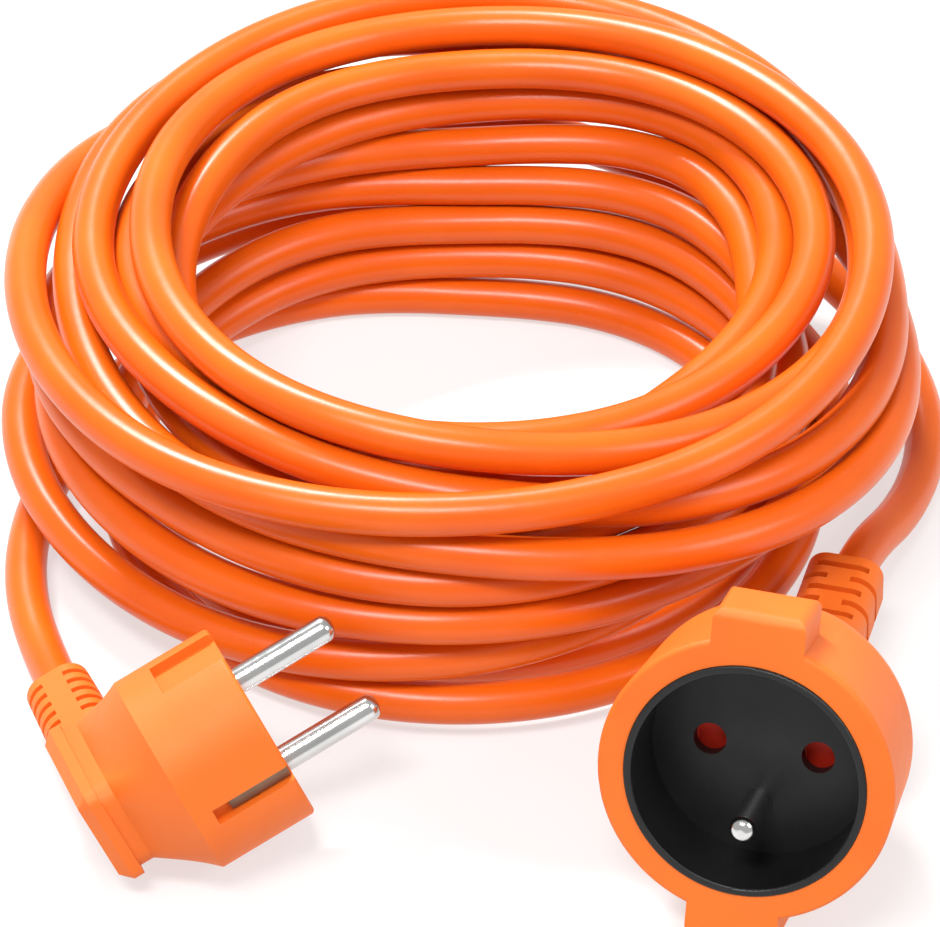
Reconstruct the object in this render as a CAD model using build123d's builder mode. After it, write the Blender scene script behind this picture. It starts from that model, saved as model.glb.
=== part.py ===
"""Coiled mains extension cord: angled plug, earthed socket connector and a loose coil of round cable."""
import math
import os

from build123d import *

# Driving dimensions, millimetres and degrees.
CABLE = 7.8                     # outside diameter of the sheath
CORE = 2.6                      # outside diameter of one insulated core
CORE_SPREAD = 1.55              # distance of each core from the cable's axis
PIN = 4.8                       # diameter of every pin
PIN_ROOT = 4.0                  # diameter of a pin inside its moulding
PIN_LENGTH = 19.0               # plug pins, measured from the face
PIN_PITCH = 19.0                # between the two current-carrying pins
EARTH_OFFSET = 10.0             # earth pin from the line through the other two
GAP = 0.05                      # between pieces that are held in one another

PLUG_FACE = (-34.4, -7.4, 24.0)
PLUG_TURN = (-47.0, 59.0, -141.0)
SOCKET_FACE = (47.9, -32.1, 32.74)
SOCKET_TURN = (70.0, -16.0, -4.0)
COIL_CENTRE = (1.2, 91.4)

# Plug body.
PLUG_RADIUS = 18.5
PLUG_RIM = 18.5                 # depth of the full round rim
PLUG_GRIP = 28.0                # depth at which the finger grip is thinnest
PLUG_LIP = 30.6                 # depth of the front of the pull lip
PLUG_DEPTH = 34.6
GRIP_HALF = 9.2                 # half thickness of the finger grip
LIP_HALF = 10.0
GRIP_FRONT = 8.6                # grip reaches this far past the plug axis
LIP_FRONT = 9.0
GRIP_CORNER = 4.0
LIP_CORNER = 2.5
LIP_CHAMFER = 2.0
GRIP_BACK = 18.0                # and this far towards the cable
BRIDGE_RADIUS = 14.6
BRIDGE_DEPTH = 11.0
CLIP_WIDTH = 2.6
CLIP_THICK = 0.8
CLIP_RADIUS = 16.9              # outer face of an earth clip
CLIP_LENGTH = 13.0
SLOT_WIDTH = 3.2
SLOT_DEPTH = 2.2
SLOT_LENGTH = 15.0
NOTCH_WIDTH = 8.8
NOTCH_DEPTH = 2.2
NOTCH_LENGTH = 12.0
EARTH_HOLE = 2.55               # radius of the hole for a socket's earth pin
SLEEVE_OUTER = 3.2

# Moulded bend reliefs.
RELIEF_WIDE = 13.0
RELIEF_THICK = 12.6
RELIEF_CORNER = 4.0
PLUG_RELIEF_END = 39.0
PLUG_CABLE_DEPTH = 28.2         # depth of the cable axis behind the face
GROOVES = 5
GROOVE_PITCH = 3.3
GROOVE_WIDTH = 1.4
GROOVE_DEPTH = 1.2
GROOVE_BAND = 4.2               # uncut band between the two halves of a groove

# Socket body.
SOCKET_RADIUS = 25.75
SOCKET_RIM = 23.0               # depth of the round rim
RIM_BACK_RADIUS = 24.4          # the rim narrows a little towards its back
SHOULDER_RADIUS = 21.4
SHOULDER_DEPTH = 29.0
TAIL_RADIUS = 16.8
TAIL_DEPTH = 40.0
TAIL_END_RADIUS = 10.0
TAIL_END_DEPTH = 44.5
RIM_ROUNDING = 1.0
RIM_BACK_ROUNDING = 8.0
TAIL_ROUNDING = 4.0
LUG_ROUNDING = 1.9
LUG_WIDTH = 16.0
LUG_HEIGHT = 4.5
LUG_LENGTH = 12.5
INSERT_RADIUS = 21.0
RECESS_RADIUS = 19.6
RECESS_DEPTH = 15.0
INSERT_PROUD = 0.4
INSERT_FLOOR = 2.5
PIN_HOLE = 2.9                  # radius of a hole for a plug pin
SKIRT_RADIUS = 18.0
SKIRT_WALL = 1.5
SHUTTER_THICK = 2.6
CARRIER_FRONT = 21.0
CARRIER_RADIUS = 14.6
CARRIER_BACK = 38.6
CONTACT_OUTER = 3.3
CONTACT_INNER = 2.5
EARTH_PIN_LENGTH = 14.0
RELIEF_ROOT = 39.5
RELIEF_BEND_AT = 61.0
RELIEF_BEND_ANGLE = 19.0
RELIEF_BEND_RADIUS = 41.0
RELIEF_TAIL = 19.5              # from the bend's corner to the relief's end
SOCKET_SHEATH = 46.0            # depth at which the sheath ends and the cores part

# Coil envelope: half axes of three stacked ellipses, and the opening through them.
COIL_HEIGHT = 59.0
COIL_WAIST = 40.0               # height of the widest part
COIL_FOOT = (66.0, 66.0)
COIL_BELLY = (87.0, 80.0)
COIL_CROWN = (82.0, 80.0)
COIL_EYE_FOOT = 45.0
COIL_EYE_CROWN = 56.0

os.makedirs("parts", exist_ok=True)
PLUG = Plane(Location(PLUG_FACE, PLUG_TURN))
SOCKET = Plane(Location(SOCKET_FACE, SOCKET_TURN))


def place(frame, x, y, z):
    """A point given in the plug's or the socket's own axes, in the part's frame."""
    return frame.from_local_coords(Vector(x, y, z))


def side_plane(frame, y):
    """Plane square to the frame's Y axis: its X is the frame's X, its Y the frame's Z."""
    return Plane(place(frame, 0, y, 0), x_dir=frame.x_dir, z_dir=-frame.y_dir)


def keep(part, name):
    part.label = name
    export_step(part, f"parts/{name}.step")


def bend_radii(points):
    """Arc radius at each corner: 0.45 of the shorter run over the tangent of half the turn."""
    radii = []
    for before, corner, after in zip(points, points[1:], points[2:]):
        arriving = corner - before
        leaving = after - corner
        turn = math.radians(arriving.get_angle(leaving))
        radii.append(0.45 * min(arriving.length, leaving.length) / math.tan(turn / 2))
    return radii


def round_tube(points, radii, diameter):
    """Solid tube along straight runs joined by tangent arcs."""
    with BuildPart() as tube:
        with BuildLine() as route:
            if radii:
                FilletPolyline(*points, radius=radii)
            else:
                Line(*points)
        with BuildSketch(Plane(points[0], z_dir=points[1] - points[0])):
            Circle(diameter / 2)
        sweep(path=route.wires()[0])
    return tube.part


def cord_tube(name, points):
    radii = bend_radii(points)
    tube = round_tube(points, radii, CABLE)
    runs = [(b - a).length for a, b in zip(points, points[1:])]
    turns = [2 * math.atan(0.45 * min(pair) / r) for pair, r in zip(zip(runs, runs[1:]), radii)]
    length = sum(runs) + sum(r * (t - 2 * math.tan(t / 2)) for r, t in zip(radii, turns))
    print(name, "length", round(length, 1), "radii", [round(r) for r in radii])
    print(name, "volume over section x length", round(tube.volume / (math.pi * CABLE**2 / 4 * length), 4))
    keep(tube, name)
    return tube


# ---------------------------------------------------------------- plug, inner pieces
def round_pin(frame, x, y, back, collar, front):
    """Pin with a slimmer root, full diameter from its collar on, and a domed tip."""
    with BuildPart() as pin:
        with BuildSketch(frame.offset(collar)):
            with Locations((x, y)):
                Circle(PIN / 2)
        extrude(amount=front - collar)
        fillet(pin.edges().sort_by(Axis(frame.origin, frame.z_dir))[-1], 0.4 * PIN)
        with BuildSketch(frame.offset(back)):
            with Locations((x, y)):
                Circle(PIN_ROOT / 2)
        extrude(amount=collar - back)
    return pin.part


plug_pins = []
for side, name in ((-1, "plug_line_pin"), (1, "plug_neutral_pin")):
    pin = round_pin(PLUG, side * PIN_PITCH / 2, 0, -BRIDGE_DEPTH - 3, 0, PIN_LENGTH)
    keep(pin, name)
    plug_pins.append(pin)

with BuildPart() as plug_earth_sleeve:
    with BuildSketch(PLUG.offset(-BRIDGE_DEPTH)):
        with Locations((0, EARTH_OFFSET)):
            Circle(SLEEVE_OUTER)
            Circle(EARTH_HOLE, mode=Mode.SUBTRACT)
            with Locations((0, -SLEEVE_OUTER / 2)):
                Rectangle(0.6, SLEEVE_OUTER, mode=Mode.SUBTRACT)
    extrude(amount=BRIDGE_DEPTH - 3)
keep(plug_earth_sleeve.part, "plug_earth_sleeve")

with BuildPart() as plug_earth_clips:
    strap_depth = BRIDGE_DEPTH + CLIP_THICK
    with BuildSketch(PLUG.offset(-strap_depth)):
        Rectangle(CLIP_WIDTH, 2 * CLIP_RADIUS)
    extrude(amount=CLIP_THICK)
    with BuildSketch(PLUG.offset(-strap_depth)):
        with Locations((0, CLIP_RADIUS - CLIP_THICK / 2), (0, CLIP_THICK / 2 - CLIP_RADIUS)):
            Rectangle(CLIP_WIDTH, CLIP_THICK)
    extrude(amount=CLIP_LENGTH - 1.5)
keep(plug_earth_clips.part, "plug_earth_clips")

with BuildPart() as plug_bridge:
    with BuildSketch(PLUG.offset(-BRIDGE_DEPTH)):
        Circle(BRIDGE_RADIUS)
        with Locations((-PIN_PITCH / 2, 0), (PIN_PITCH / 2, 0)):
            Circle(PIN_ROOT / 2 + GAP, mode=Mode.SUBTRACT)
        with Locations((0, EARTH_OFFSET)):
            Circle(EARTH_HOLE, mode=Mode.SUBTRACT)
    extrude(amount=BRIDGE_DEPTH)
    with BuildSketch(PLUG.offset(-BRIDGE_DEPTH)):
        with Locations((0, EARTH_OFFSET)):
            Circle(SLEEVE_OUTER + GAP)
    extrude(amount=BRIDGE_DEPTH - 3 + GAP, mode=Mode.SUBTRACT)
keep(plug_bridge.part, "plug_bridge")

# Cores run from the back of each pin and of the earth strap to the end of the sheath.
SHEATH_Y = -22.0
plug_wires = []
core_ends = {
    "plug_line_wire": (-PIN_PITCH / 2, 0, -BRIDGE_DEPTH - 3, -CORE_SPREAD, -0.9),
    "plug_neutral_wire": (PIN_PITCH / 2, 0, -BRIDGE_DEPTH - 3, CORE_SPREAD, -0.9),
    "plug_earth_wire": (0, -6.0, -strap_depth, 0, 1.75),
}
for name, (x, y, z, across, along) in core_ends.items():
    route = [
        place(PLUG, x, y, z),
        place(PLUG, x, y, z - 5.0),
        place(PLUG, 0.5 * x + 0.5 * across, -9.0 - 0.5 * abs(along), -24.5 + along),
        place(PLUG, across, -16.0, -PLUG_CABLE_DEPTH + along),
        place(PLUG, across, SHEATH_Y + 0.3, -PLUG_CABLE_DEPTH + along),
    ]
    wire = round_tube(route, [2.5, 4.0, 4.0], CORE)
    keep(wire, name)
    plug_wires.append(wire)

# ---------------------------------------------------------------- plug body
with BuildPart() as plug_body:
    with BuildSketch(PLUG.offset(-PLUG_RIM)):
        Circle(PLUG_RADIUS)
    extrude(amount=PLUG_RIM)
    fillet(plug_body.edges().sort_by(Axis(PLUG.origin, PLUG.z_dir))[-1], 0.8)
    grip_centre = (GRIP_FRONT - GRIP_BACK) / 2
    with BuildSketch(PLUG.offset(-PLUG_RIM)):
        Circle(PLUG_RADIUS)
    with BuildSketch(PLUG.offset(-PLUG_GRIP)):
        with Locations((0, grip_centre)):
            RectangleRounded(2 * GRIP_HALF, GRIP_FRONT + GRIP_BACK, GRIP_CORNER)
    loft()
    with BuildSketch(PLUG.offset(-PLUG_LIP)):
        with Locations((0, grip_centre)):
            RectangleRounded(2 * GRIP_HALF, GRIP_FRONT + GRIP_BACK, GRIP_CORNER)
    extrude(amount=PLUG_LIP - PLUG_GRIP)
    with BuildSketch(PLUG.offset(-PLUG_DEPTH)):
        with Locations((0, (LIP_FRONT - GRIP_BACK) / 2)):
            RectangleRounded(2 * LIP_HALF, LIP_FRONT + GRIP_BACK, LIP_CORNER)
    extrude(amount=PLUG_DEPTH - PLUG_LIP)
    chamfer(plug_body.edges().group_by(Axis(PLUG.origin, PLUG.z_dir))[0], LIP_CHAMFER)
    with BuildSketch(side_plane(PLUG, -GRIP_BACK + 4)):
        with Locations((0, -PLUG_CABLE_DEPTH)):
            RectangleRounded(RELIEF_THICK, RELIEF_WIDE, RELIEF_CORNER)
    with BuildSketch(side_plane(PLUG, -PLUG_RELIEF_END)):
        with Locations((0, -PLUG_CABLE_DEPTH)):
            RectangleRounded(RELIEF_THICK - 1, RELIEF_WIDE - 1, RELIEF_CORNER)
    loft()
    for groove in range(GROOVES):
        groove_y = -PLUG_RELIEF_END + 2.2 + groove * GROOVE_PITCH
        with BuildSketch(side_plane(PLUG, groove_y)):
            with Locations((0, -PLUG_CABLE_DEPTH)):
                Rectangle(30, 30)
                RectangleRounded(
                    RELIEF_THICK - 2 * GROOVE_DEPTH,
                    RELIEF_WIDE - 2 * GROOVE_DEPTH,
                    RELIEF_CORNER - 1,
                    mode=Mode.SUBTRACT,
                )
                Rectangle(30, GROOVE_BAND, mode=Mode.SUBTRACT)
        extrude(amount=-GROOVE_WIDTH, mode=Mode.SUBTRACT)
    # Side guide notches and earth clip slots in the rim.
    with BuildSketch(PLUG.offset(-NOTCH_LENGTH)):
        for side in (-1, 1):
            with Locations((side * (PLUG_RADIUS + 2 - NOTCH_DEPTH), 0)):
                Rectangle(4, NOTCH_WIDTH)
    extrude(amount=NOTCH_LENGTH, mode=Mode.SUBTRACT)
    with BuildSketch(PLUG.offset(-SLOT_LENGTH)):
        for side in (-1, 1):
            with Locations((0, side * (PLUG_RADIUS + 2 - SLOT_DEPTH))):
                Rectangle(SLOT_WIDTH, 4)
    extrude(amount=SLOT_LENGTH, mode=Mode.SUBTRACT)
    # Pocket for the bridge, the strap and the clips.
    with BuildSketch(PLUG.offset(-BRIDGE_DEPTH)):
        Circle(BRIDGE_RADIUS + GAP)
    extrude(amount=BRIDGE_DEPTH, mode=Mode.SUBTRACT)
    with BuildSketch(PLUG.offset(-strap_depth - GAP)):
        Rectangle(CLIP_WIDTH + 2 * GAP, 2 * CLIP_RADIUS + 2 * GAP)
    extrude(amount=CLIP_THICK + 2 * GAP, mode=Mode.SUBTRACT)
    with BuildSketch(PLUG.offset(-strap_depth - GAP)):
        with Locations((0, CLIP_RADIUS - CLIP_THICK / 2), (0, CLIP_THICK / 2 - CLIP_RADIUS)):
            Rectangle(CLIP_WIDTH + 2 * GAP, CLIP_THICK + 2 * GAP)
    extrude(amount=CLIP_LENGTH, mode=Mode.SUBTRACT)
    # The cable's bore, then the moulding's grip on the pins and the cores.
    with BuildSketch(side_plane(PLUG, SHEATH_Y)):
        with Locations((0, -PLUG_CABLE_DEPTH)):
            Circle(CABLE / 2)
    extrude(amount=PLUG_RELIEF_END, mode=Mode.SUBTRACT)
    for piece in plug_pins + plug_wires:
        add(piece, mode=Mode.SUBTRACT)
keep(plug_body.part, "plug_body")

# ---------------------------------------------------------------- socket, inner pieces
floor_back = RECESS_DEPTH + INSERT_FLOOR
hole_spots = [(-PIN_PITCH / 2, 0), (PIN_PITCH / 2, 0)]

with BuildPart() as socket_insert:
    with BuildSketch(SOCKET.offset(-floor_back)):
        Circle(INSERT_RADIUS)
    extrude(amount=floor_back + INSERT_PROUD)
    with BuildSketch(SOCKET.offset(-RECESS_DEPTH)):
        Circle(RECESS_RADIUS)
    extrude(amount=RECESS_DEPTH + INSERT_PROUD, mode=Mode.SUBTRACT)
    with BuildSketch(SOCKET.offset(-CARRIER_FRONT)):
        Circle(SKIRT_RADIUS)
        Circle(SKIRT_RADIUS - SKIRT_WALL, mode=Mode.SUBTRACT)
    extrude(amount=CARRIER_FRONT - floor_back)
    with BuildSketch(SOCKET.offset(-floor_back)):
        with Locations(*hole_spots):
            Circle(PIN_HOLE)
        with Locations((0, -EARTH_OFFSET)):
            Circle(PIN_ROOT / 2 + GAP)
    extrude(amount=INSERT_FLOOR, mode=Mode.SUBTRACT)
    rim_edges = socket_insert.edges().group_by(Axis(SOCKET.origin, SOCKET.z_dir))[-1]
    fillet(rim_edges, 0.35)
keep(socket_insert.part, "socket_insert")

earth_tip = EARTH_PIN_LENGTH - RECESS_DEPTH
socket_earth_pin = round_pin(SOCKET, 0, -EARTH_OFFSET, -CARRIER_BACK, -RECESS_DEPTH, earth_tip)
keep(socket_earth_pin, "socket_earth_pin")

socket_contacts = []
for side, name in ((-1, "socket_line_contact"), (1, "socket_neutral_contact")):
    with BuildPart() as contact:
        with BuildSketch(SOCKET.offset(-CARRIER_BACK)):
            with Locations((side * PIN_PITCH / 2, 0)):
                Circle(CONTACT_OUTER)
        extrude(amount=CARRIER_BACK - CARRIER_FRONT - 0.6)
        with BuildSketch(SOCKET.offset(4 - CARRIER_BACK)):
            with Locations((side * PIN_PITCH / 2, 0)):
                Circle(CONTACT_INNER)
                Rectangle(0.8, 2 * CONTACT_OUTER + 1)
        extrude(amount=CARRIER_BACK, mode=Mode.SUBTRACT)
        with BuildSketch(SOCKET.offset(4 - CARRIER_BACK)):
            with Locations((side * PIN_PITCH / 2, 0)):
                Circle(CONTACT_OUTER)
                Circle(CONTACT_INNER, mode=Mode.SUBTRACT)
        extrude(amount=3)
    keep(contact.part, name)
    socket_contacts.append(contact.part)

# The shutter: two blades behind the pin holes on one plate, with entry ramps, and a spring pocket.
BLADE_WIDTH = 6.0
BLADE_REACH = 3.3               # from the pin line towards the spring
BLADE_DROP = 4.2                # and away from it
BLADE_SLOPE = 2.0               # depth of the entry ramp at the blade's edge
shutter_back = CARRIER_FRONT - 0.35
with BuildPart() as shutter:
    with BuildSketch(SOCKET.offset(-shutter_back)):
        with Locations((0, (BLADE_REACH - BLADE_DROP) / 2)):
            Rectangle(PIN_PITCH + BLADE_WIDTH, BLADE_REACH + BLADE_DROP)
        with Locations((0, BLADE_REACH + 0.9)):
            Rectangle(7.0, 2.2)
    extrude(amount=SHUTTER_THICK)
    for side in (-1, 1):
        ramp = Plane(
            place(SOCKET, side * PIN_PITCH / 2, 0, SHUTTER_THICK - shutter_back),
            x_dir=SOCKET.y_dir,
            z_dir=SOCKET.x_dir,
        )
        with BuildSketch(ramp.offset(-BLADE_WIDTH / 2 + 0.4)):
            Polygon(
                (-BLADE_DROP - 1, 1),
                (-BLADE_DROP - 1, -BLADE_SLOPE),
                (-BLADE_DROP, -BLADE_SLOPE),
                (1.6, 0),
                (1.6, 1),
                align=None,
            )
        extrude(amount=BLADE_WIDTH - 0.8, mode=Mode.SUBTRACT)
keep(shutter.part, "shutter")

SPRING_MEAN = 1.3
SPRING_WIRE = 0.45
SPRING_TURNS = 4
spring_start = BLADE_REACH + 2.1
spring_end = SKIRT_RADIUS - SKIRT_WALL - 0.3
spring_length = spring_end - spring_start - SPRING_WIRE
with BuildPart() as shutter_spring:
    with BuildLine():
        winding = Helix(
            pitch=spring_length / SPRING_TURNS,
            height=spring_length,
            radius=SPRING_MEAN,
            center=place(SOCKET, 0, spring_start + SPRING_WIRE / 2, SHUTTER_THICK / 2 - shutter_back),
            direction=SOCKET.y_dir,
        )
    with BuildSketch(Plane(winding @ 0, z_dir=winding % 0)):
        Circle(SPRING_WIRE / 2)
    sweep(path=winding)
keep(shutter_spring.part, "shutter_spring")

with BuildPart() as contact_carrier:
    with BuildSketch(SOCKET.offset(-CARRIER_BACK)):
        Circle(CARRIER_RADIUS)
        with Locations(*hole_spots):
            Circle(CONTACT_OUTER + GAP, mode=Mode.SUBTRACT)
        with Locations((0, -EARTH_OFFSET)):
            Circle(PIN_ROOT / 2 + GAP, mode=Mode.SUBTRACT)
    extrude(amount=CARRIER_BACK - CARRIER_FRONT)
keep(contact_carrier.part, "contact_carrier")

with BuildPart() as socket_earth_strip:
    with BuildSketch(SOCKET.offset(-CARRIER_BACK - 1.0)):
        with Locations((0, -EARTH_OFFSET + 2.5)):
            RectangleRounded(7.0, 11.0, 2.0)
    extrude(amount=1.0)
keep(socket_earth_strip.part, "socket_earth_strip")

socket_wires = []
core_ends = {
    "socket_line_wire": (-PIN_PITCH / 2, 0, -CARRIER_BACK, -CORE_SPREAD, 0.9),
    "socket_neutral_wire": (PIN_PITCH / 2, 0, -CARRIER_BACK, CORE_SPREAD, 0.9),
    "socket_earth_wire": (0, -5.0, -CARRIER_BACK - 1.0, 0, -1.75),
}
for name, (x, y, z, across, up) in core_ends.items():
    route = [
        place(SOCKET, x, y, z),
        place(SOCKET, x, y, -CARRIER_BACK - 2.6),
        place(SOCKET, across, up, -SOCKET_SHEATH + 2.2),
        place(SOCKET, across, up, -SOCKET_SHEATH),
    ]
    wire = round_tube(route, bend_radii(route), CORE)
    keep(wire, name)
    socket_wires.append(wire)

# ---------------------------------------------------------------- socket body
bend_run = RELIEF_BEND_RADIUS * math.tan(math.radians(RELIEF_BEND_ANGLE / 2))
tail_y = math.sin(math.radians(RELIEF_BEND_ANGLE))
tail_z = -math.cos(math.radians(RELIEF_BEND_ANGLE))
relief_points = [
    place(SOCKET, 0, 0, -RELIEF_ROOT),
    place(SOCKET, 0, 0, -RELIEF_BEND_AT),
    place(SOCKET, 0, RELIEF_TAIL * tail_y, -RELIEF_BEND_AT + RELIEF_TAIL * tail_z),
]
with BuildPart() as socket_body:
    with BuildSketch(Plane(SOCKET.origin, x_dir=SOCKET.x_dir, z_dir=-SOCKET.y_dir)) as profile:
        with BuildLine():
            Polyline(
                (0, 0),
                (SOCKET_RADIUS, 0),
                (RIM_BACK_RADIUS, -SOCKET_RIM),
                (SHOULDER_RADIUS, -SHOULDER_DEPTH),
                (TAIL_RADIUS, -TAIL_DEPTH),
                (TAIL_END_RADIUS, -TAIL_END_DEPTH),
                (0, -TAIL_END_DEPTH),
                close=True,
            )
        make_face()
        for radius, depth, rounding in (
            (RIM_BACK_RADIUS, SOCKET_RIM, RIM_BACK_ROUNDING),
            (TAIL_RADIUS, TAIL_DEPTH, TAIL_ROUNDING),
        ):
            fillet(profile.vertices().sort_by_distance((radius, -depth))[0], rounding)
    revolve(axis=Axis(SOCKET.origin, SOCKET.z_dir))
    rim = socket_body.edges().filter_by(GeomType.CIRCLE).sort_by(Axis(SOCKET.origin, SOCKET.z_dir))
    fillet(rim[-1], RIM_ROUNDING)
    with BuildSketch(SOCKET.offset(-LUG_LENGTH)):
        Rectangle(LUG_WIDTH, 2 * (SOCKET_RADIUS + LUG_HEIGHT))
    extrude(amount=LUG_LENGTH)
    lug_ends = socket_body.faces().filter_by(Plane(SOCKET.origin, z_dir=SOCKET.y_dir))
    lug_edges = [edge for face in lug_ends for edge in face.edges()]
    fillet(lug_edges, LUG_ROUNDING)
    with BuildLine() as relief_line:
        FilletPolyline(*relief_points, radius=[RELIEF_BEND_RADIUS])
    with BuildSketch(SOCKET.offset(-RELIEF_ROOT)):
        RectangleRounded(RELIEF_WIDE + 1, RELIEF_THICK, RELIEF_CORNER)
    sweep(path=relief_line.wires()[0])
    for groove in range(GROOVES):
        back = 2.2 + groove * GROOVE_PITCH
        middle = place(
            SOCKET,
            0,
            (RELIEF_TAIL - back) * tail_y,
            -RELIEF_BEND_AT + (RELIEF_TAIL - back) * tail_z,
        )
        outward = place(SOCKET, 0, tail_y, tail_z) - SOCKET.origin
        with BuildSketch(Plane(middle, x_dir=SOCKET.x_dir, z_dir=outward)):
            Rectangle(30, 30)
            RectangleRounded(
                RELIEF_WIDE + 1 - 2 * GROOVE_DEPTH,
                RELIEF_THICK - 2 * GROOVE_DEPTH,
                RELIEF_CORNER - 1,
                mode=Mode.SUBTRACT,
            )
            if groove % 2:
                Rectangle(GROOVE_BAND, 30, mode=Mode.SUBTRACT)
            else:
                for side in (-1, 1):
                    with Locations((side * (RELIEF_WIDE + 1) / 2, 0)):
                        Rectangle(GROOVE_BAND, 30, mode=Mode.SUBTRACT)
        extrude(amount=-GROOVE_WIDTH, mode=Mode.SUBTRACT)
    # Stepped pocket for the insert, its skirt, the carrier and the earth strip.
    for radius, deep, shallow in (
        (INSERT_RADIUS + GAP, floor_back, 0.0),
        (SKIRT_RADIUS + GAP, CARRIER_FRONT, floor_back),
        (CARRIER_RADIUS + GAP, CARRIER_BACK, CARRIER_FRONT),
    ):
        with BuildSketch(SOCKET.offset(-deep)):
            Circle(radius)
        extrude(amount=deep - shallow, mode=Mode.SUBTRACT)
    add(socket_earth_strip.part, mode=Mode.SUBTRACT)
    for wire in socket_wires:
        add(wire, mode=Mode.SUBTRACT)
    bore_points = [place(SOCKET, 0, 0, -SOCKET_SHEATH), relief_points[1], relief_points[2]]
    with BuildLine() as bore_line:
        FilletPolyline(*bore_points, radius=[RELIEF_BEND_RADIUS])
    with BuildSketch(SOCKET.offset(-SOCKET_SHEATH)):
        Circle(CABLE / 2)
    sweep(path=bore_line.wires()[0], mode=Mode.SUBTRACT)
keep(socket_body.part, "socket_body")

# ---------------------------------------------------------------- cord
plug_route = [
    place(PLUG, 0, SHEATH_Y, -PLUG_CABLE_DEPTH),
    place(PLUG, 0, -48.0, -PLUG_CABLE_DEPTH),
    Vector(-80.3, 47.0, 4.1),
    Vector(-80.8, 67.0, 4.1),
    Vector(-75.3, 84.0, 5.5),
]
socket_route = [
    bore_points[0],
    bore_points[1],
    Vector(73.2, 51.0, 11.6),
    Vector(83.7, 70.0, 5.6),
    Vector(89.7, 91.0, 4.4),
    Vector(87.2, 113.0, 5.5),
    Vector(77.2, 131.0, 9.0),
    Vector(66.2, 142.0, 13.0),
]
cord_tube("plug_lead", plug_route)
cord_tube("socket_lead", socket_route)


def oval(height, half_axes):
    """Ellipse around the coil's axis at a height."""
    with BuildSketch(Plane.XY.offset(height)) as outline:
        with Locations(COIL_CENTRE):
            Ellipse(*half_axes)
    return outline.sketch


with BuildPart() as cord_coil:
    add(oval(0, COIL_FOOT))
    add(oval(COIL_WAIST, COIL_BELLY))
    add(oval(COIL_HEIGHT, COIL_CROWN))
    loft()
    add(oval(0, (COIL_EYE_FOOT, COIL_EYE_FOOT)))
    add(oval(COIL_HEIGHT, (COIL_EYE_CROWN, COIL_EYE_CROWN)))
    loft(mode=Mode.SUBTRACT)
keep(cord_coil.part, "cord_coil")
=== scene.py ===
"""Looks for the coiled extension cord: one continuous cable, moulded ends, studio floor and lights."""
import math

import bpy
import numpy as np
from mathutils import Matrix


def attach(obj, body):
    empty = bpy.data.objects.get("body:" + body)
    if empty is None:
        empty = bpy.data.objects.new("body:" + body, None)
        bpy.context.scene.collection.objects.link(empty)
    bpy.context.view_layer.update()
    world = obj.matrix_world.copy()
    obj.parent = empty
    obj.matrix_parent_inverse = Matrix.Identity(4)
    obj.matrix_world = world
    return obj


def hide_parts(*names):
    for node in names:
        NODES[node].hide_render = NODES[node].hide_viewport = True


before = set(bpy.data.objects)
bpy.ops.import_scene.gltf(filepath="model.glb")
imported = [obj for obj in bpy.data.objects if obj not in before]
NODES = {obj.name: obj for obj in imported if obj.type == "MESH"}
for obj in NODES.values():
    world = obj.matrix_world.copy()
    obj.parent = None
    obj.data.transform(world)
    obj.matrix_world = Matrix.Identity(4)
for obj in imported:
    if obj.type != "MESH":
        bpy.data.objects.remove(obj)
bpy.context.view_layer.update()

MM = 0.001
CABLE = 7.8                     # outside diameter of the sheath, mm
COIL_CENTRE = (1.2, 91.4)       # mm

# ---------------------------------------------------------------- camera
CAMERA_TARGET = (1.8, 91.4, -1.0)       # mm
CAMERA_DISTANCE = 950.0                 # mm
CAMERA_ELEVATION = 40.0                 # degrees
SENSOR = 36.0
LENS = 189.92
CLIP_NEAR = 0.01                # m
CLIP_FAR = 20.0


def make_camera():
    data = bpy.data.cameras.new("studio_camera")
    data.sensor_width = SENSOR
    data.lens = LENS
    data.clip_start = CLIP_NEAR
    data.clip_end = CLIP_FAR
    camera = bpy.data.objects.new("studio_camera", data)
    rise = math.radians(CAMERA_ELEVATION)
    x, y, z = CAMERA_TARGET
    camera.location = (
        x * MM,
        (y - CAMERA_DISTANCE * math.cos(rise)) * MM,
        (z + CAMERA_DISTANCE * math.sin(rise)) * MM,
    )
    camera.rotation_euler = (math.pi / 2 - rise, 0.0, 0.0)
    bpy.context.collection.objects.link(camera)
    bpy.context.scene.camera = camera
    bpy.context.scene.view_settings.view_transform = "Standard"


# ---------------------------------------------------------------- the cable
# The two free ends, mm, the same points as the CAD leads.
PLUG_END = [
    (-65.7, 2.32, 9.68),
    (-74.13, 26.36, 4.47),
    (-80.3, 47.0, 4.1),
    (-80.8, 67.0, 4.1),
]
SOCKET_END = [
    (77.2, 131.0, 9.0),
    (87.2, 113.0, 5.5),
    (89.7, 91.0, 4.4),
    (83.7, 70.0, 5.6),
    (73.2, 51.0, 11.6),
    (64.71, 23.0, 12.68),
    (60.58, 9.45, 17.62),
]
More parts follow.
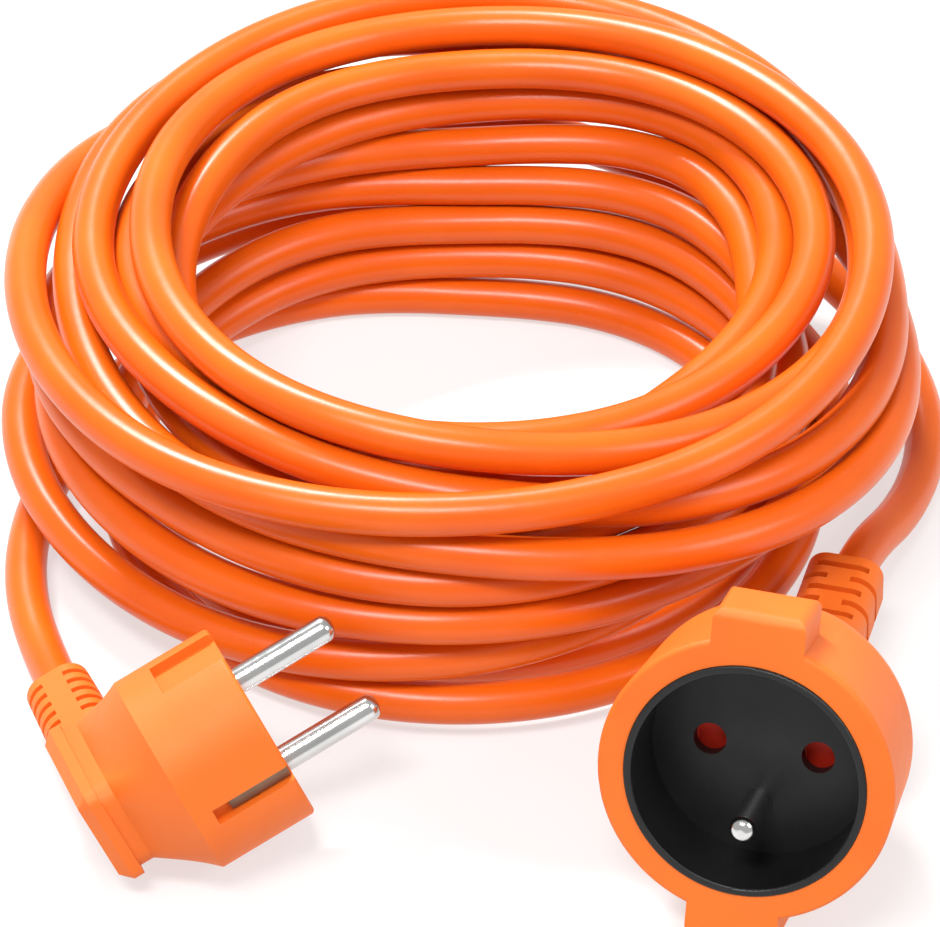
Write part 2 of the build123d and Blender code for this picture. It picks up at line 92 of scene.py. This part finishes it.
# The coil, turn by turn from the plug's end, clockwise seen from above. Each turn gives the cable's
# distance from the coil's centre and its height, mm, at eight stations 45 degrees apart:
# left, back left, back, back right, right, front right, front, front left.
STATIONS = 8
TURNS = [
    [(76, 4), (58, 4), (46.6, 4), (53, 4), (61, 4), (64, 4), (64.5, 4), (65, 4)],
    [(66, 6), (56, 9), (48.5, 10.3), (53.4, 10.3), (62, 7), (71, 4), (75, 3.9), (73, 4.2)],
    [(64, 12), (55.5, 17.5), (49.5, 18.2), (56.8, 19.6), (63, 17), (66, 18), (75, 16), (81.1, 13)],
    [(85, 16), (72, 14), (62, 16), (61, 14), (68, 13), (68, 22), (74, 26.3), (76.4, 25)],
    [(77, 27), (64, 27), (52, 27.8), (58.4, 29.4), (61, 27), (66, 29), (75.5, 33.8), (74, 33)],
    [(79, 36), (60, 36), (55.4, 34), (63.2, 38.2), (55, 37), (62.5, 37.5), (67.5, 37.6), (62, 38)],
    [(60, 38), (55, 41), (59.2, 40), (65.6, 43), (57, 44), (50.5, 42.2), (55.6, 39.8), (54.5, 41)],
    [(56, 44), (56.8, 50), (59.8, 48.8), (67.3, 49), (66, 50), (58.6, 48), (55, 48.5), (56, 48)],
    [(63, 46.5), (66, 45), (68.5, 41), (74, 38), (80.5, 32.5), (85.6, 38), (76, 41.2), (73.5, 40.5)],
    [(74.3, 43.5), (80, 46.5), (75.5, 46), (79, 44), (78.5, 40), (79.5, 44.5), (66, 47), (64.7, 50)],
    [(69.2, 51), (72.1, 54), (76.5, 54.5), (76.2, 53), (75, 46.5), (69, 48.8), (62.4, 54), (59.1, 55)],
    [(58.2, 55), (62.4, 53.5), (65.8, 51.6), (68.5, 54), (73.8, 55), (76.7, 52), (75, 49.5), (79.6, 48)],
    [(81.5, 46.5), (82, 38), (70, 30), (76, 20)],
]
POINTS_PER_TURN = 24
CABLE_SIDES = 7                 # bevel resolution of its round section
CURVE_STEPS = 8                 # per control point
START_ANGLE = 90                # degrees clockwise from the front: the left side
SETTLE_STEPS = 400
RELAXATION = 0.6                # share of each push that is taken per step
LONGEST_PUSH = 2.0              # mm
EASE_EVERY = 3                  # steps between smoothings of the shift
OUT_OF_REACH = 99.0             # mm, keeps a strand from pushing itself
STRAND_GAP = 7.9                # least distance between strand centres the settling aims for
FLOOR_HEIGHT = 3.9


def between_stations(rows, where):
    """Smooth values at fractional station numbers, through every station."""
    last = len(rows) - 1
    start = np.clip(np.floor(where).astype(int), 0, last - 1)
    share = (where - start)[:, None]
    before = rows[np.clip(start - 1, 0, last)]
    here = rows[start]
    there = rows[start + 1]
    after = rows[np.clip(start + 2, 0, last)]
    slope_here = (there - before) / 2
    slope_there = (after - here) / 2
    square = share**2
    cube = share**3
    return (
        (2 * cube - 3 * square + 1) * here
        + (cube - 2 * square + share) * slope_here
        + (3 * square - 2 * cube) * there
        + (cube - square) * slope_there
    )


def eased(values):
    """Each row mixed with its two neighbours along the cable."""
    mixed = values.copy()
    mixed[1:-1] = 0.5 * values[1:-1] + 0.25 * (values[:-2] + values[2:])
    return mixed


def settle(rows):
    """Pushes apart strands that cross the same section too closely, and keeps them above the floor."""
    start = rows.copy()
    rows = rows.copy()
    for step in range(SETTLE_STEPS):
        push = np.zeros_like(rows)
        for section in range(POINTS_PER_TURN):
            index = np.arange(section, len(rows), POINTS_PER_TURN)
            strands = rows[index]
            apart = strands[:, None] - strands[None]
            distance = np.hypot(apart[..., 0], apart[..., 1]) + np.eye(len(index)) * OUT_OF_REACH
            shove = np.clip(STRAND_GAP - distance, 0, None) / distance / 2
            push[index] += (apart * shove[..., None]).sum(1)
        rows += RELAXATION * eased(np.clip(push, -LONGEST_PUSH, LONGEST_PUSH))
        if step % EASE_EVERY == 0:
            rows = start + eased(rows - start)
        rows[:, 1] = np.maximum(rows[:, 1], FLOOR_HEIGHT)
    return rows


def coil_points():
    stations = np.array([station for turn in TURNS for station in turn], float)
    where = np.arange(0, len(stations) - 1 + 1e-6, STATIONS / POINTS_PER_TURN)
    rows = settle(between_stations(stations, where))
    angle = np.radians(START_ANGLE + where * 360 / STATIONS)
    x = COIL_CENTRE[0] - np.sin(angle) * rows[:, 0]
    y = COIL_CENTRE[1] - np.cos(angle) * rows[:, 0]
    return list(zip(x, y, rows[:, 1]))


def make_cable(material):
    points = PLUG_END + coil_points() + SOCKET_END
    data = bpy.data.curves.new("cable", "CURVE")
    data.dimensions = "3D"
    data.bevel_depth = CABLE / 2 * MM
    data.bevel_resolution = CABLE_SIDES
    data.resolution_u = CURVE_STEPS
    data.use_fill_caps = True
    spline = data.splines.new("NURBS")
    spline.points.add(len(points) - 1)
    for control, (x, y, z) in zip(spline.points, points):
        control.co = (x * MM, y * MM, z * MM, 1.0)
    spline.order_u = 3
    spline.use_endpoint_u = True
    spline.use_smooth = True
    cable = bpy.data.objects.new("cable", data)
    bpy.context.collection.objects.link(cable)
    data.materials.append(material)
    return cable


# ---------------------------------------------------------------- materials
class Graph:
    """A material's node tree, with short calls to add and join nodes."""

    def __init__(self, name):
        self.material = bpy.data.materials.new(name)
        self.material.use_nodes = True
        self.tree = self.material.node_tree
        self.shader = self.tree.nodes["Principled BSDF"]

    def node(self, kind, **settings):
        node = self.tree.nodes.new(kind)
        for name, value in settings.items():
            setattr(node, name, value)
        return node

    def join(self, source, target):
        self.tree.links.new(source, target)

    def constant(self, **values):
        for name, value in values.items():
            self.shader.inputs[name.replace("_", " ")].default_value = value

    def noise(self, scale, detail=2.0, roughness=0.5):
        """Grain in object space: scale is in features per metre, roughly."""
        place = self.node("ShaderNodeTexCoord").outputs["Object"]
        noise = self.node("ShaderNodeTexNoise")
        noise.inputs["Scale"].default_value = scale
        noise.inputs["Detail"].default_value = detail
        noise.inputs["Roughness"].default_value = roughness
        self.join(place, noise.inputs["Vector"])
        return noise.outputs["Fac"]

    def ramp(self, source, stops):
        ramp = self.node("ShaderNodeValToRGB")
        elements = ramp.color_ramp.elements
        while len(elements) < len(stops):
            elements.new(0.5)
        for element, (position, colour) in zip(elements, stops):
            element.position = position
            element.color = (*colour, 1.0)
        self.join(source, ramp.inputs["Fac"])
        return ramp.outputs["Color"]

    def spread(self, source, low, high):
        span = self.node("ShaderNodeMapRange")
        span.inputs["To Min"].default_value = low
        span.inputs["To Max"].default_value = high
        self.join(source, span.inputs["Value"])
        return span.outputs["Result"]

    def bump(self, layers):
        """Stacks bump nodes: each layer is a height, its strength and its depth in metres."""
        normal = None
        for height, strength, depth in layers:
            bump = self.node("ShaderNodeBump")
            bump.inputs["Strength"].default_value = strength
            bump.inputs["Distance"].default_value = depth
            self.join(height, bump.inputs["Height"])
            if normal is not None:
                self.join(normal, bump.inputs["Normal"])
            normal = bump.outputs["Normal"]
        self.join(normal, self.shader.inputs["Normal"])

    def colour(self, source):
        self.join(source, self.shader.inputs["Base Color"])

    def roughness(self, source):
        self.join(source, self.shader.inputs["Roughness"])


def sheath_material():
    """Satin PVC sheath: faint waviness from extrusion, scuffs that take the gloss off in places."""
    graph = Graph("orange_sheath")
    tone = graph.noise(38, 3)
    graph.colour(graph.ramp(tone, [(0.3, (0.66, 0.095, 0.003)), (0.7, (0.72, 0.122, 0.005))]))
    graph.roughness(graph.spread(graph.noise(160, 4, 0.6), 0.24, 0.36))
    graph.constant(Specular_IOR_Level=0.35, Subsurface_Weight=0.03, Subsurface_Scale=0.003)
    graph.shader.inputs["Subsurface Radius"].default_value = (1.0, 0.35, 0.1)
    graph.bump([(graph.noise(90, 2), 0.25, 0.0004), (graph.noise(900, 3), 0.12, 0.0001)])
    return graph.material


def moulding_material():
    """Overmoulded PVC: matt, finely grained, a little lighter than the sheath."""
    graph = Graph("orange_moulding")
    tone = graph.noise(30, 3)
    graph.colour(graph.ramp(tone, [(0.3, (0.7, 0.125, 0.008)), (0.7, (0.75, 0.15, 0.012))]))
    graph.roughness(graph.spread(graph.noise(260, 4), 0.5, 0.62))
    graph.constant(Specular_IOR_Level=0.35, Subsurface_Weight=0.06, Subsurface_Scale=0.003)
    graph.shader.inputs["Subsurface Radius"].default_value = (1.0, 0.4, 0.12)
    graph.bump([(graph.noise(2600, 2), 0.35, 0.00008), (graph.noise(120, 2), 0.15, 0.0003)])
    return graph.material


def insulator_material():
    """Hard black insulator: satin, very fine grain."""
    graph = Graph("black_insulator")
    tone = graph.noise(60, 4)
    graph.colour(graph.ramp(tone, [(0.3, (0.004, 0.004, 0.0045)), (0.75, (0.008, 0.008, 0.0085))]))
    graph.roughness(graph.spread(graph.noise(220, 4), 0.36, 0.5))
    graph.constant(Specular_IOR_Level=0.4)
    graph.bump([(graph.noise(2200, 3), 0.3, 0.00006)])
    return graph.material


def metal_material(name, colour, dark, low, high):
    """Plated or stamped metal: two close tones, and roughness between low and high."""
    graph = Graph(name)
    graph.colour(graph.ramp(graph.noise(120, 3), [(0.3, dark), (0.7, colour)]))
    graph.roughness(graph.spread(graph.noise(700, 3, 0.6), low, high))
    graph.constant(Metallic=1.0)
    graph.bump([(graph.noise(1800, 3, 0.6), 0.12, 0.00004)])
    return graph.material


def plastic_material(name, colour, dark, low=0.35, high=0.5):
    """Plain moulded plastic in two close tones."""
    graph = Graph(name)
    graph.colour(graph.ramp(graph.noise(90, 3), [(0.3, dark), (0.7, colour)]))
    graph.roughness(graph.spread(graph.noise(400, 3), low, high))
    graph.bump([(graph.noise(1500, 2), 0.2, 0.00005)])
    return graph.material


def dress(names, material):
    """Gives the named CAD nodes one material."""
    for name in names:
        slots = NODES[name].data.materials
        slots.clear()
        slots.append(material)


# ---------------------------------------------------------------- floor and light
FLOOR_REACH = 6.0               # m, from the middle to each edge
FLOOR_TONES = ((0.30, 0.30, 0.30), (0.32, 0.32, 0.32))
FLOOR_GLOW = 0.62               # keeps the ground white around the orange pieces
WORLD_STRENGTH = 0.6
LIGHT_AIM = (0.0, 0.084, 0.02)  # m
# Name, place in m, width and depth in m, power in W.
LIGHTS = [
    ("key_light", (-0.35, 0.75, 1.1), (0.5, 0.1), 24.0),
    ("side_light", (0.9, -0.4, 0.9), (0.5, 0.5), 5.0),
    ("front_light", (-0.3, -0.6, 1.4), (0.6, 0.3), 18.0),
]


def make_floor():
    data = bpy.data.meshes.new("studio_floor")
    reach = FLOOR_REACH
    corners = [(-reach, -reach, 0), (reach, -reach, 0), (reach, reach, 0), (-reach, reach, 0)]
    data.from_pydata(corners, [], [(0, 1, 2, 3)])
    floor = bpy.data.objects.new("studio_floor", data)
    bpy.context.collection.objects.link(floor)
    graph = Graph("pale_floor")
    graph.colour(graph.ramp(graph.noise(3, 2), [(0.0, FLOOR_TONES[0]), (1.0, FLOOR_TONES[1])]))
    graph.constant(Roughness=0.8, Specular_IOR_Level=0.1)
    graph.constant(Emission_Color=(1.0, 1.0, 1.0, 1.0), Emission_Strength=FLOOR_GLOW)
    data.materials.append(graph.material)


def make_light(name, place, size, power):
    """An area light that faces LIGHT_AIM."""
    data = bpy.data.lights.new(name, "AREA")
    data.shape = "RECTANGLE"
    data.size = size[0]
    data.size_y = size[1]
    data.energy = power
    light = bpy.data.objects.new(name, data)
    light.location = place
    offset = np.array(LIGHT_AIM) - np.array(place)
    pitch = math.atan2(math.hypot(offset[0], offset[1]), -offset[2])
    heading = math.atan2(offset[1], offset[0]) - math.pi / 2
    light.rotation_euler = (pitch, 0.0, heading)
    bpy.context.collection.objects.link(light)


def make_light_rig():
    world = bpy.data.worlds.new("studio_world")
    world.use_nodes = True
    backdrop = world.node_tree.nodes["Background"]
    backdrop.inputs["Color"].default_value = (1.0, 1.0, 1.0, 1.0)
    backdrop.inputs["Strength"].default_value = WORLD_STRENGTH
    bpy.context.scene.world = world
    for light in LIGHTS:
        make_light(*light)


make_camera()
sheath = sheath_material()
cable = make_cable(sheath)
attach(cable, "cord_set")
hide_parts("cord_coil", "plug_lead", "socket_lead")

dress(["plug_body", "socket_body", "plug_bridge"], moulding_material())
dress(["socket_insert", "contact_carrier"], insulator_material())
dress(
    ["plug_line_pin", "plug_neutral_pin", "socket_earth_pin"],
    metal_material("nickel_plate", (0.66, 0.66, 0.65), (0.54, 0.54, 0.53), 0.12, 0.24),
)
# Painted shade: the earth clips are coloured dark brown so that they read as shaded in their recessed
# slots.
dress(
    ["plug_earth_clips"],
    metal_material("shade_darkened_nickel", (0.3, 0.2, 0.14), (0.2, 0.13, 0.09), 0.4, 0.55),
)
dress(
    ["plug_earth_sleeve", "socket_line_contact", "socket_neutral_contact", "socket_earth_strip"],
    metal_material("stamped_brass", (0.85, 0.62, 0.27), (0.7, 0.48, 0.2), 0.2, 0.34),
)
dress(
    ["shutter_spring"],
    metal_material("spring_steel", (0.6, 0.6, 0.62), (0.45, 0.45, 0.47), 0.2, 0.3),
)
dress(["shutter"], plastic_material("red_shutter", (0.75, 0.035, 0.015), (0.6, 0.025, 0.01)))
dress(
    ["plug_line_wire", "socket_line_wire"],
    plastic_material("brown_core", (0.16, 0.055, 0.025), (0.12, 0.04, 0.02)),
)
dress(
    ["plug_neutral_wire", "socket_neutral_wire"],
    plastic_material("blue_core", (0.02, 0.1, 0.5), (0.015, 0.08, 0.4)),
)
dress(
    ["plug_earth_wire", "socket_earth_wire"],
    plastic_material("green_core", (0.3, 0.5, 0.03), (0.1, 0.36, 0.03)),
)
dress(["cord_coil", "plug_lead", "socket_lead"], sheath)

make_floor()
make_light_rig()
